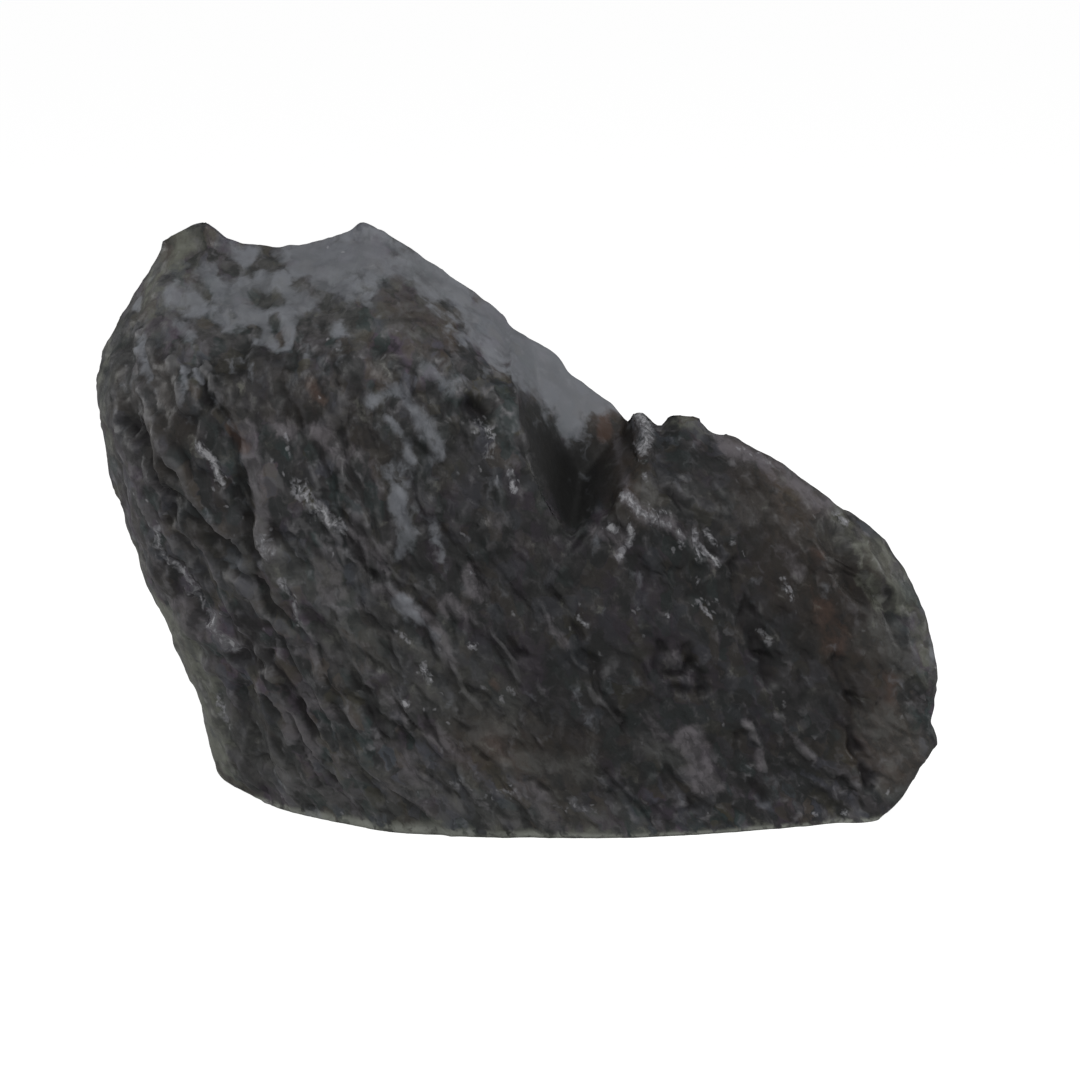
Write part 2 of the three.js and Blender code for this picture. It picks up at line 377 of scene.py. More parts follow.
# Marks that are cut in the relief and coloured as well: (x, z) points.
LOBE_SCOOP = [(74, 69), (78, 63), (80, 57), (86, 53), (89, 49)]
HORN_CHIP = [(-60, 124), (-55, 123)]
SHOULDER_CHIP = [(-47, 121), (-48, 117), (-50, 112)]
BRIGHT_RIB = [(-52, 98), (-51, 94.5), (-50.5, 91.5)]
FOOT_RIB = [(53, 27), (56.5, 21), (57.5, 14)]
THIN_RIB = [(60.5, 27.5), (65, 21.5), (70, 16)]

# Grooves that were opened by water along the grain: (x, z) points, half width, depth.
GROOVES = [
    ((-89, 96), (-84, 92), (-81, 88), (-78, 82), (-77, 81), 3.5, 3.5),
    ((-88.5, 103), (-86.5, 98), (-84, 93), 2.2, 1.5),
    ((-77, 81), (-74, 78), (-69, 74), (-65, 69), (-60, 61), (-56, 55), (-53, 51), 2, 3),
    ((-54.2, 79.5), (-53.8, 71), 1.4, 1.3),
    ((-72, 110), (-68, 104), (-65, 99), (-62, 93), (-61, 88), 2, 2.4),
    ((-62, 87), (-62, 78), 3.8, 2.8),
    ((-61, 77), (-60, 71), (-59, 65), 1.9, 2.4),
    ((-74, 66), (-71, 63), (-68, 55), (-65, 50), 1.9, 2.2),
    ((-95, 92), (-89, 61), (-81, 50), (-74, 38), 2.2, 1.6),
    ((-39.5, 73.5), (-35.5, 69.5), (-31.5, 62.5), 1.1, 1),
    ((-22.5, 59), (-20, 54), (-18.5, 48), 2, 1.6),
    ((-37, 39), (-33, 32), (-30, 25), 2, 1.8),
    ((-26, 68), (-20, 54), (-16, 43), (-12, 31), 1.7, 1.2),
    ((9, 59), (13, 52), (18, 43), (21, 33), (27, 26), 1.7, 1.3),
    ((50, 68), (52, 57), (54, 50), (56, 44), (60, 36), 2.8, 2.6),
    ((78.5, 30), (80, 19), (83.5, 9), 2.2, 1.6),
    ((34, 26), (35, 22), (38, 12), (41, 7), 2.2, 1.1),
    ((50, 26), (52.5, 21), (54.5, 16), 1.6, 1),
    ((56, 11.5), (57, 7.5), 2, 1.4),
    ((22, 16), (22, 11), (24, 8), 1.3, 0.8),
    ((-1, 15.5), (3.5, 14), (7.5, 12), 1.2, 1.1),
    ((-43, 121), (-42, 113), (-44, 104), 1.8, 1.4),
    ((-24, 104), (-17, 88), (-14, 76), 1.5, 0.8),
    ((-57, 42), (-50, 27), (-43, 12), 1.8, 1.8),
    ((29, 53), (33, 36), 1.5, 0.8),
    ((75, 40), (80, 30), (83, 21), 1.9, 1),
    ((-10, 68), (-5, 56), (1, 45), 1.5, 1),
    ((32.5, 87.5), (34, 83), (38, 79.7), (43.5, 76), 1.7, 1.2),
    ((-40, 97), (-35, 84), (-31, 72), 1.5, 1.3),
]
# Ridges of harder rock beside them: (x, z) points, half width, height.
RIDGES = [
    ((-92, 119), (-89, 116), (-86, 109), (-83, 103), 1.6, 1.2),
    ((-87, 108), (-84, 101), (-81, 95), (-78, 90), (-74, 83), (-69, 77), (-66, 73), 1.7, 1.3),
    ((-78, 112), (-75, 105), 1.6, 1),
    ((-70, 111), (-66, 105), (-62, 97), (-60, 92), 1.4, 1.2),
    ((-59, 95), (-59, 89), 2.8, 1.2),
    ((-58, 86), (-58, 80), 3.2, 1.6),
    ((-58, 76), (-56, 69), 3.2, 1.7),
    (*BRIGHT_RIB, 1.7, 1),
    ((-31.5, 62), (-26.5, 59.5), (-21.5, 56), (-18.5, 51), (-16, 46), 2, 1),
    ((-73, 72), (-70, 65), (-67, 57), (-65, 51), 2.4, 1.3),
    ((-65, 63), (-61, 56), (-59, 52), 2.2, 1.4),
    ((-84, 85), (-80, 79), 2.6, 1),
    ((-80, 75), (-74, 68), 2.4, 1),
    ((-46, 89), (-42, 77), (-38, 67), 1.8, 1),
    ((-51, 58), (-46, 44), (-43, 29), 2, 1.2),
    ((-17, 47), (-13, 40), (-10, 35), (-8, 32), 1.2, 0.6),
    ((-5, 51), (-3, 48), (0, 42), (1, 39), 1.1, 0.45),
    ((7, 55.5), (11.5, 47), (15, 42.5), (19, 34.5), (24.5, 28.5), 1.2, 1.1),
    ((-57.5, 22), (-55, 11.5), (-52, 6.5), 1.8, 1),
    ((-30.5, 38), (-25.5, 29.5), 2.2, 0.9),
    ((-39, 53), (-36, 43), (-32, 37), 1.6, 0.9),
    ((33, 76), (43, 66), 2.6, 1),
    (*FOOT_RIB, 1.9, 0.9),
    (*THIN_RIB, 1.3, 0.8),
    ((53, 88), (62, 81), (68, 76), 1.8, 0.7),
    ((72, 74), (77, 71), (80, 64), (85, 60), (90, 52), (92, 47), 2.4, 1),
]
# Hollows where softer rock fell out: (x, z) points, radius, depth.
HOLLOWS = [
    ((-9.5, 102.3), (-7.5, 101.3), 4.2, 4.2),
    ((33, 47), (32.8, 42), (34.2, 39.2), (38.4, 39), (40.5, 42), (39, 46), 2.2, 1.6),
    ((40.2, 41.5), (42.5, 39.5), (43.5, 35), 2.6, 1.7),
    ((36, 36), (43, 34.5), 2.2, 1.1),
    (*LOBE_SCOOP, 5.5, 2.8),
    ((-64, 30), (-60, 14), 5, 2.2),
    ((-63.5, 40.5), (-60, 39.5), 3.4, 2.2),
    ((-78.5, 77), (-79.5, 73.5), 2.6, 2),
    ((-62, 111), (-60, 106), 5, 1.4),
    (*HORN_CHIP, 2.6, 0.8),
    ((-63, 116), (-58, 116), (-54, 114), 2.6, 0.9),
    (*SHOULDER_CHIP, 2.4, 0.9),
    ((-23, 94), (-20, 92), 2.4, 1.4),
]

# Leaves of rock: size across the grain, height, depth of the crack round a leaf, how much the leaf
# counts in the tone, and the seed.
LEAF_SIZES = [(14, 1.6, 0.45, 0.25, 31), (7.2, 1.1, 0.35, 0.4, 41), (3.6, 0.65, 0.0, 0.35, 51)]
LEAF_SLANT = 0.8  # how steeply a leaf falls away across the grain
RUBBED_ABOVE = 1.0  # what stands out further than this is rubbed down to 0.3 of its rise


def relief(p, on_front):
    """The relief over the body: its height in mm, how far each point is into a crack, the tone of the
    leaf it is on, and how far it is on one of the thin ridges. It is the sum of swells, rods, leaves,
    fissures and ridges along the grain, and of the grooves, ridges and hollows listed above. What is
    scattered dies away towards the rim, the sawn base and the cleft, and where the body faces up."""
    flat = grain_coordinates(p)
    q = pushed(flat, (11, 11, 22), 2.4, (3, 4, 5))
    q = pushed(q, (3.6, 3.6, 7), 0.8, (6, 7, 8))
    x, z = p[..., 0], p[..., 2]
    reach = np.max([np.linalg.norm(np.gradient(p, axis=a), axis=2) for a in (0, 1)], axis=0)
    fine = np.clip(1.5 / reach, 0, 1) ** 2  # fades what is too small for a stretched part of the grid
    cleft = cleft_openness(x, z) * on_front
    facing_up = smoothstep(0.3, 0.85, normals[..., 2])
    worn = 1 - 0.45 * smoothstep(-30, 20, x)  # the low end is rubbed smoother
    edges = (0.4 + 0.6 * smoothstep(0, 7, inwards)) * (0.3 + 0.7 * smoothstep(0, 4, z))
    rough = edges * fine * worn * (1 - 0.5 * facing_up) * (1 - 0.85 * smoothstep(0, 0.2, cleft))

    # Broad swells, long rods, and the three sizes of leaf.
    height = edges * (1.1 * fractal(p / 32, 11, 3) - 0.4) * (1 - 0.6 * cleft)
    height += rough * 0.2 * (0.9 - 2.2 * np.abs(fractal(q / (9, 10, 30), 21, 2)))
    tone = np.zeros(x.shape)
    for size, tall, crack, share, seed in LEAF_SIZES:
        cell = (size, 1.2 * size, 1.7 * size)
        facet, gap, leaf_tone = leaves(q / cell, flat / cell, seed, LEAF_SLANT)
        height += rough * (tall * facet - crack * np.exp(-gap / 0.08))
        tone += share * leaf_tone
    height += rough * 0.12 * fractal(q / (1.9, 1.9, 4), 61, 2)
    by_rim = (1 - smoothstep(0, 6, inwards)) * smoothstep(3, 8, z)
    height += by_rim * 0.3 * fractal(p / (5, 6, 5), 65, 2)  # nicks in the outline

    # Fissures and thin ridges, scattered along the grain.
    fissure = rough * thin_lines(q, (5, 9, 20), 0.2, 0.18, 91)
    streak = rough * thin_lines(q, (6, 9, 22), 0.17, 0.2, 93)
    height += 0.3 * streak - 0.55 * fissure
    in_crack = 0.8 * fissure

    # The listed ones. A ridge is the lifted edge of a leaf, so the ground drops on its lower right.
    wander = p + 1.7 * np.stack([noise(q / (3.4, 3.4, 5), 71), 0 * x, noise(q / (3.4, 3.4, 5), 72)], -1)
    patchy = np.clip(0.75 + 1.3 * noise(q / (5, 5, 8), 81), 0.15, 1.2)  # how well a groove is kept
    for *points, half_width, depth in GROOVES:
        groove = on_front * patchy * near_line(wander, points, half_width) ** 0.8
        height -= depth * groove
        in_crack = np.maximum(in_crack, groove * min(1.0, depth / 2))
    for *points, half_width, rise in RIDGES:
        ridge = on_front * patchy * smoothstep(0, 1, near_line(wander, points, half_width))
        beside = wander - half_width * np.array([1.2, 0, 0.5])
        under = on_front * patchy * near_line(beside, points, half_width)
        height += rise * (ridge - 0.45 * under)
        in_crack = np.maximum(in_crack, 0.45 * under)
        if half_width < 2:
            streak = np.maximum(streak, ridge)
    for *points, radius, depth in HOLLOWS:
        hollow = on_front * smoothstep(0, 1, near_line(0.6 * p + 0.4 * wander, points, radius))
        height -= depth * hollow
        in_crack = np.maximum(in_crack, hollow * (0.9 * depth / radius - 0.1))
    too_tall = np.maximum(height - RUBBED_ABOVE, 0)
    return height - 0.7 * too_tall, in_crack, tone, streak


height, crack, tone, streak = relief(rings, front_side)
stone_points = rings + normals * height[..., None]
stone_points[..., 2] = np.maximum(stone_points[..., 2], 0)  # nothing hangs below the sawn base
stone_points[:, [0, -1], 2] = 0


def blurred(grid, steps):
    """The mean over a wider and wider neighbourhood: in each step a grid point takes a third of its
    own value and a sixth of each of the four beside it."""
    for _ in range(steps):
        wide = np.pad(grid, 1, mode="edge")
        beside = wide[:-2, 1:-1] + wide[2:, 1:-1] + wide[1:-1, :-2] + wide[1:-1, 2:]
        grid = (beside + 2 * grid) / 6
    return grid


# How far each point stands above the mean of what is round it, over a wide and a narrow
# neighbourhood: a crest is above 0, a groove below.
height_above_mean = np.clip((height - blurred(height, 14)) / 1.2, -1, 1)
edge = np.clip((height - blurred(height, 3)) / 0.35, -1, 1)

# ------------------------------------------------------------
# Weathering, and painted light and shade: a thin pale skin of lime where water ran over the top, rust
# where the rock holds iron, algae at the ends, dust, painted glint highlights, dark paint that is partly
# shade, and pale paint that is partly light at the edges. Each is a field over the stone's points, drawn
# as soft strokes in the XZ plane, which the material breaks up with noise. A stroke stronger than 1 has
# a solid core.


def strokes(p, marks):
    """The strongest of a list of soft strokes, each (x, z) points, a radius and a strength."""
    soft = [near_line(p, points, radius) * strength for *points, radius, strength in marks]
    return np.max(soft, axis=0)


# The skin of lime, and the bare places in it.
LIME = [
    ((-71, 127), (-68, 125), 5, 1.2),
    ((-64, 123), (-58, 120), (-52, 118), 9, 1.2),
    ((-62, 130), (-56, 127), (-50, 124), 8, 1.2),
    ((-48, 124), (-49, 119), (-52, 115), 4, 1.1),
    ((-50, 130), (-42, 130), (-33, 132), 11, 1.3),
    ((-79, 123.5), (-73, 123), 4.2, 1.2),
    ((-78, 119), (-73, 116), 3.4, 0.8),
    ((-89, 121), (-87, 115), (-85, 110), (-82, 105), 2.4, 0.75),
    ((-77, 115), (-75.5, 111), (-74, 107), 1.6, 0.55),
    ((-72, 111), (-69, 107), (-66, 102), (-62, 96), 1.8, 0.5),
    ((97, 50), (98.5, 36), 3.4, 0.4),
    ((-40, 119), (-39, 114), 3.6, 0.8),
    ((-31, 134), (-26, 131), (-20, 128), 6, 1),
    ((-22, 129), (-11, 121), 8.5, 1.15),
    ((-7, 118), (-1, 112), 8, 1.4),
    ((-19, 111), (-14, 107), 4.6, 0.9),
    ((-32, 104), (-26.5, 106), (-22.5, 101.5), (-19.5, 96), (-17.5, 91.5), 3.3, 0.95),
    ((-28, 100), (-24, 94), (-23, 91), 2.2, 0.65),
    ((-19, 100), (-18, 95), 2.4, 0.5),
    ((-28, 88), (-27, 83.5), (-26, 79), (-24, 74.5), (-26.5, 69), 4.3, 0.95),
    ((-23, 80), (-19, 75), (-17, 70), (-15, 65), 3, 0.6),
    ((-26, 58), (-22, 54), (-19, 50), 3.4, 0.95),
]
BARE = [
    (*HORN_CHIP, 3, 0.8),
    ((-63, 112), (-50, 108), 6, 1.2),
    ((-62, 128), (-59, 130), (-56, 128), 2.2, 0.8),
    ((-60, 118), (-59, 118), 1.8, 0.8),
    (*SHOULDER_CHIP, 2.2, 1),
    ((-25, 122), (-20, 117), 4.5, 0.6),
    ((-55, 119.5), (-53, 116), 2.2, 0.9),
]
# Paler, quartz-rich rock; on the knob, by the cleft's right lip and along the lobe's crest it is partly
# painted highlight. One seam on the left flank is polished as well, with painted glint highlights.
FLANK_SEAM = [(-72, 50), (-69.5, 46), (-66, 42.5)]
PALE = [
    ((-59.5, 98), (-58.5, 88), (-57, 80), (-56, 69), 3, 1.9),
    ((-54, 99), (-49, 96), 4, 1),
    ((-44, 98), (-39, 90), 4.5, 1.2),
    ((-35, 92), (-31, 83), 4, 0.9),
    ((-37, 74), (-34, 68), 4.5, 1.2),
    ((-43, 69), (-42, 60), 5, 1.9),
    ((-31, 61), (-26, 58), (-20.5, 54.5), (-17.5, 49.5), (-14.5, 43), 2.8, 1.5),
    ((-15, 57), (-11, 54), 4, 1.4),
    ((-10, 64), (-8, 60), 4, 1.5),
    ((-78, 52), (-74, 46), 5, 1.5),
    ((-34, 72), (-30, 66), 4, 1.2),
    ((-28, 11), (-22, 8), 5, 1.1),
    ((24.5, 94), (30, 93), 3.6, 1.7),
    ((-46, 33), (-43, 28), 4, 1),
    ((-48, 9), (-42, 6), 4, 0.9),
    ((-25, 19), (-21, 14), 4, 1.2),
    ((3, 12), (8, 5), 5, 1.4),
    ((62, 67), (66, 62), 4, 0.8),
    ((48, 90), (58, 85), (66, 80), (73, 75), 3.6, 1.5),
    ((24.5, 86), (26, 82), 3, 1),
    ((-47.5, 46.5), (-46, 43), 2.6, 1.1),
    ((-19, 27), (-14.5, 22), 3.4, 1.4),
    (*FLANK_SEAM, 5, 1),
    ((-55, 29), (-52.5, 25.5), 2.4, 1.2),
    ((-51.5, 23), (-48, 18), 4.5, 1.7),
    ((-29.5, 36.5), (-25.5, 29.5), 3, 1.1),
    ((-56, 12), (-51, 7), 2.6, 0.9),
    ((40, 24), (43.5, 17.5), (44, 13), 4.6, 2),
    ((30.5, 29), (34, 24.5), 2.6, 1.1),
    ((36.6, 44.3), (36.8, 43.8), 2, 1.2),
    ((41, 16), (47, 11), 4, 0.9),
    (*FOOT_RIB, 2.2, 0.9),
    (*THIN_RIB, 1.6, 0.8),
    ((7, 54), (12, 47), 2.6, 0.9),
    ((-8, 79), (2, 69), 4, 0.5),
    ((-84, 85), (-80, 79), (-74, 68), 3, 0.6),
    ((-73, 72), (-67, 57), (-65, 51), 2.4, 0.7),
    ((-85, 66), (-78, 50), (-72, 36), 4, 0.5),
    ((35, 44), (36, 43), 2, 0.9),
    ((26, 81.5), (29, 78), (35.5, 75), 3.2, 1.3),
    ((17, 74), (26, 73), 3.4, 1),
    ((26, 75), (24, 68), 3, 0.9),
    ((40, 73), (46, 66), 4, 0.8),
]
# Polished places, where mica glints: painted highlights, laid bright into the colour.
GLINT_HIGHLIGHTS = [
    ((-71, 94), (-68, 90), (-66, 85), 1.7, 1.8),
    (*BRIGHT_RIB, 1.8, 0.9),
    ((-49, 85), (-44, 79), (-39, 74), 3.4, 1.4),
    ((-57, 73), (-55.5, 69), 2.6, 1.4),
    ((-21.5, 43), (-19.5, 39.5), 2, 1.3),
    ((-25.6, 34), (-24.8, 33.4), 1.6, 1.9),
    ((-9.5, 64.2), (-9.1, 63.6), 1.3, 1.3),
    ((34.6, 54), (35.2, 53.6), 1.3, 1.4),
    ((-27.5, 51), (-24, 48.5), 1.8, 0.9),
    ((-15, 14), (-9, 10.5), (0, 12), 2.4, 0.8),
    ((7, 8), (18, 7), 2, 0.8),
    ((42.5, 56), (45, 52.5), 1.6, 0.9),
    ((-82.5, 71.5), (-82, 64.5), (-78, 61), (-75, 55), (-74, 53), 1.7, 1.4),
    (*FLANK_SEAM, 3.4, 1.3),
    ((-72, 27), (-69, 20), 2.4, 1.1),
    ((-53, 62), (-50.5, 57), (-49.5, 52), 2, 1.3),
    ((-9, 99), (-5, 96), (-6, 91), 3, 1),
    ((-1, 87), (0, 83), 1.5, 1.4),
    ((-10, 47.5), (-9.4, 46.8), 1.6, 1.5),
    ((14, 54.2), (16.6, 52), 1.4, 1.4),
    ((-7.3, 37.5), (-6.9, 37.1), 1.5, 1.4),
    ((-3.1, 34.6), (-2.9, 33.6), 1.3, 1.4),
    ((-1.2, 36.9), (-0.6, 36.1), 1.4, 1.4),
    ((26, 94), (29.5, 95), (31, 92.5), (29, 89.5), 2.8, 1.6),
    ((70, 2.8), (70.6, 2.6), 1.2, 1.3),
    ((77, 2.6), (77.8, 2.4), 1.3, 1.4),
    ((24.5, 82), (26.5, 81.3), (27.5, 79), 2.2, 1.5),
    ((27, 80), (28, 78.2), (31.3, 76.4), (35.5, 74.5), 1.7, 1.5),
    ((30.7, 78.6), (35.2, 77.5), 1.4, 1),
    ((21.6, 74.8), (22.7, 74.2), 1.8, 1.7),
    ((26, 74.7), (26.3, 71.5), (23.8, 67.6), 1.9, 1.15),
    ((26, 75), (26.4, 73), 1.6, 1.6),
    ((37.5, 73.3), (38.1, 69.3), 1.5, 1.25),
    ((41.4, 73.6), (42, 66.2), 1.5, 1.35),
    ((43.7, 72.9), (45.9, 69.4), 1.4, 1.55),
    ((43.1, 69), (46.8, 64.7), 1.5, 1.5),
    ((29.5, 85.8), (30, 85.4), 1.2, 1.5),
    ((50, 70), (50.4, 69.6), 1.4, 1.6),
    ((42, 62), (42, 56), (46, 56), 1.6, 0.8),
    ((62, 60), (64, 55), 1.6, 1.1),
    ((57, 48), (59, 45), 1.6, 1),
    ((52, 88), (62, 83), 2.4, 0.7),
    ((75, 73), (77, 71), 2.2, 0.9),
]
# Stains: iron rust, algae, and brown clay.
RUST = [
    ((21, 92), (21, 88), 3.2, 1.3),
    ((69, 66), (71, 65), 4, 0.8),
    ((72, 54), (75, 43), 9, 0.75),
    ((88, 34), (88, 29), 5, 0.9),
    ((-5, 24), (1, 15), 9, 0.6),
    ((-64, 98), (-61, 94), 3, 1),
    ((-5, 38), (-4, 37), 2.4, 0.9),
    ((-46, 108), (-43, 104), 3, 0.7),
    ((-38, 50), (-35, 42), 3, 0.6),
    ((-1, 17.5), (6, 14), 3, 0.7),
]
ALGAE = [
    ((-93, 119), (-97, 108), (-97, 95), (-96, 76), 5, 0.5),
    ((83, 58), (87, 53), 5, 0.9),
    ((-93, 60), (-87, 46), (-80, 30), 7, 0.9),
    ((-86, 124), (-80, 129), (-76, 135), 8, 0.8),
    ((-84, 42), (-79, 30), (-77, 20), (-74, 6), 9, 2.6),
    ((35, 95), (39, 95), (43, 92), 4, 0.6),
    ((74, 73), (84, 64), 5, 0.6),
    ((85, 64), (92, 52), 5.5, 1),
    ((95, 46), (96, 34), 5, 0.5),
]
BROWN = [
    ((56, 79), (66, 70), (80, 57), 13, 1),
    ((84, 26), (90, 14), 9, 1.6),
    ((21, 90), (27, 81), 9, 1.4),
    ((62, 64), (72, 52), (80, 40), 13, 1.3),
    ((-10, 25), (12, 20), 14, 0.9),
    ((82, 40), (84, 18), 12, 1),
    ((-52, 106), (-30, 92), 12, 0.5),
    ((-26, 123), (-16, 116), 7, 0.6),
    ((-84, 98), (-82, 88), 5, 1),
    ((-81, 108), (-76, 97), 6, 1.1),
]
# Rock painted dark: partly rock that stays damp, partly painted shade in hollows, grooves and on the
# lobe's up-facing top.
DAMP_AND_SHADE = [
    ((-8, 60), (20, 54), (55, 42), 48, 1.8),
    ((22, 30), (50, 40), 32, 1.8),
    ((-20, 92), (-4, 74), 24, 1.2),
    ((50, 62), (70, 34), 28, 1.4),
    ((-60, 106), (-34, 96), 14, 1.2),
    (*LOBE_SCOOP, 6, 2),
    ((-86, 94), (-78, 82), (-70, 70), 6, 1.6),
    ((-94, 90), (-88, 70), (-78, 52), 10, 0.8),
    ((-96, 110), (-90, 92), 10, 1.5),
    ((-60, 112), (-50, 107), 7, 1.4),
    ((-40, 113), (-30, 98), 6, 1),
    ((-13, 92), (-5, 84), 7, 1.8),
    ((-31, 114), (-27, 111), 4, 1.3),
    ((-90, 99), (-82, 87), 7, 2.2),
    ((-70, 90), (-66, 78), 5, 1.2),
    ((-50, 89), (-46, 85), 4, 1),
    ((-48, 40), (-46, 36), 4, 1.1),
    ((-40, 23), (-37, 19), 4, 1.1),
    ((-15, 17), (-12, 14), 3.5, 1),
    ((-68, 20), (-63, 12), 6, 1.4),
    ((85, 50), (89, 44), 5, 1.2),
    ((70, 8), (76, 5), 4, 1.2),
    ((-9.5, 102), (-7.5, 101), 4.4, 2.6),
    ((-75, 63), (-71, 57), 4, 1),
    ((-57, 69), (-54, 64), 4.5, 1.6),
    ((50, 68), (53, 56), (57, 42), 3.2, 2.2),
    ((-86, 110), (-72, 96), 10, 1.7),
    ((-63, 84), (-61, 70), 5, 1.6),
    ((-64, 108), (-48, 105), 8, 1.5),
    ((38, 84), (49, 79), (53, 74), 13, 1.8),
    ((-62, 25), (-60, 12), 10, 1.6),
    ((-64, 40.5), (-59, 40), 5, 1.6),
]
# Rock under a pale bloom of dust, and painted light along the stone's edges and foot.
VEIL_AND_EDGE_LIGHT = [
    ((-80, 123), (-56, 125), (-14, 126), 13, 1.1),
    ((-56, 66), (-30, 44), (-6, 32), 18, 0.7),
    ((-72, 16), (-44, 8), (-8, 6), 18, 0.7),
    ((-82, 40), (-74, 16), 12, 2),
    ((86, 24), (95, 12), 8, 1.2),
    ((84, 44), (93, 36), 7, 1),
    ((-90, 120), (-82, 117), 5, 0.9),
    ((-6, 6), (24, 4), 8, 0.9),
    ((-1, 18), (14, 16), 7, 0.9),
    ((30, 22), (37, 19), 5, 0.8),
    ((87, 9), (91, 6), 4, 1.3),
    ((29.5, 84), (31, 81), 3.2, 1.2),
]

x, y, z = rings[..., 0], rings[..., 1], rings[..., 2]
cleft = cleft_openness(x, z) * front_only
lime = (strokes(rings, LIME) - strokes(rings, BARE)) * front_only
# On the cleft's wall the skin ends in drips, at a height that changes along the wall: (x, z).
DRIP_ENDS = [(-2, 106), (1, 103), (5, 98), (9, 93), (12, 88), (15, 90), (21, 92), (26, 93)]
wall_lime = 1.3 * smoothstep(-6, 5, z - np.interp(x, *zip(*DRIP_ENDS)))
lime = np.where(cleft > 0.02, np.maximum(wall_lime, lime * (1 - cleft)), lime)
back_lime = (1 - front_only) * smoothstep(0.35, 0.9, normals[..., 2]) * smoothstep(34, 20, x)
lime = np.maximum(lime, 0.9 * back_lime)

# ------------------------------------------------------------
# The stone's mesh: a ring of points for each column, closed underneath by the sawn base, on which
# the stone stands free, and moved to where the frame has the stone.


def with_base(grid):
    """Adds the rows of the sawn base: straight lines from the front's foot back to the back's foot."""
    t = (np.arange(1, BASE_ROWS) / BASE_ROWS)[None, :]
    t = t[..., None] if grid.ndim == 3 else t
    return np.concatenate([grid, grid[:, -1:] * (1 - t) + grid[:, :1] * t], axis=1)


def stone_mesh(points, fields):
    """A quad for each cell of the closed grid. Points that meet at both ends, within 0.002 mm, are
    merged. The fields, a name and a grid of numbers or of vectors, are stored as attributes."""
    columns, around = points.shape[:2]
    index = np.arange(columns * around).reshape(columns, around)
    ahead = np.roll(index, -1, axis=1)
    quads = np.stack([index[:-1], index[1:], ahead[1:], ahead[:-1]], -1).reshape(-1, 4)
    mesh = bpy.data.meshes.new("dragon_stone")
    mesh.from_pydata((points.reshape(-1, 3) * MM).tolist(), [], quads.tolist())
    for name, grid in fields.items():
        kind, key = ("FLOAT_VECTOR", "vector") if grid.ndim == 3 else ("FLOAT", "value")
        attribute = mesh.attributes.new(name, kind, "POINT")
        attribute.data.foreach_set(key, grid.astype(np.float32).ravel())
    work = bmesh.new()
    work.from_mesh(mesh)
    bmesh.ops.remove_doubles(work, verts=work.verts, dist=2e-6)
    bmesh.ops.dissolve_degenerate(work, edges=work.edges, dist=1e-7)
    bmesh.ops.recalc_face_normals(work, faces=work.faces)
    work.to_mesh(mesh)
    work.free()
    return mesh


# The banks of the cleft run nearly straight back, so the mottling is drawn out on them, to half of
# their real depth behind the face in front.
uncut_y = np.minimum(y, uncut_depth(x, z))
painted_y = np.where(cleft > 0, 0.5 * (y + uncut_y), y)
painted_points = np.stack([x, painted_y, z], -1)
# The whole is moved so that its middle is the middle of the frame's stone, and it keeps its foot.
low, high = (np.array(corner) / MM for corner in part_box("stone"))
form_low, form_high = rings.reshape(-1, 3).min(0), rings.reshape(-1, 3).max(0)
shift = (low + high) / 2 - (form_low + form_high) / 2
shift[2] = 0
# How high the pale band at the foot reaches, where the saw bruised it and where light from the floor is
# painted on: (x, z).
PALE_FOOT_HEIGHTS = [(-70, 2), (-55, 4), (-20, 6), (5, 4), (25, 2.6)]
pale_foot_height = np.interp(x, *zip(*PALE_FOOT_HEIGHTS))
fields = dict(tone=tone, height_above_mean=height_above_mean, edge=edge, streak=streak, crack=crack, cleft=cleft, lime=lime)
fields["foot"] = np.clip(1 - z / pale_foot_height, 0, 1)
# The strokes of each painted field, and how much of it shows through on the back.
painted = [("pale", PALE, 0), ("glint_highlights", GLINT_HIGHLIGHTS, 0), ("veiled_and_edge_lit", VEIL_AND_EDGE_LIGHT, 0), ("algae", ALGAE, 0.3)]
painted += [("rust", RUST, 1), ("brown", BROWN, 1), ("damp_and_shade", DAMP_AND_SHADE, 1)]
for name, marks, on_back in painted:
    fields[name] = strokes(rings, marks) * (on_back + (1 - on_back) * front_only)
fields = {name: with_base(grid) for name, grid in fields.items()}
fields["grain"] = grain_coordinates(with_base(painted_points))
stone = bpy.data.objects.new("dragon_stone", stone_mesh(with_base(stone_points) + shift, fields))
bpy.context.scene.collection.objects.link(stone)
stone.data.polygons.foreach_set("use_smooth", np.ones(len(stone.data.polygons), bool))
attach(stone, "root")
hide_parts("stone")

# ------------------------------------------------------------
# The rock itself: dark grey schist, mottled in cool, warm and violet greys, with the fields above
# painted over it and a fine grain of small flakes and streaks in the bump.


class Wire:
    """A shader socket that can stand in an expression. Each operator adds one Math node."""

    def __init__(self, graph, socket):
        self.graph, self.socket = graph, socket

    def math(self, operation, *values):
        """A Math node, with this wire as its first value."""
        inputs = dict(enumerate((self, *values)))
        return self.graph.node("ShaderNodeMath", {"operation": operation}, inputs)

    def __add__(self, other):
        return self.math("ADD", other)

    __radd__ = __add__

    def __sub__(self, other):
        return self.math("SUBTRACT", other)

    def __rsub__(self, other):
        return (self * -1) + other

    def __mul__(self, other):
        return self.math("MULTIPLY", other)

    __rmul__ = __mul__

    def also(self, name):
        """Another output of the same node."""
        return Wire(self.graph, self.socket.node.outputs[name])

    def channel(self, name):
        """The red, green or blue of a colour."""
        return self.graph.node("ShaderNodeSeparateColor", {}, {0: self}, name)

    def step(self, low, high):
        """0 at low, 1 at high, smooth between them and level beyond."""
        settings = {"interpolation_type": "SMOOTHSTEP", "clamp": True}
        inputs = {"Value": self, "From Min": low, "From Max": high}
        return self.graph.node("ShaderNodeMapRange", settings, inputs)


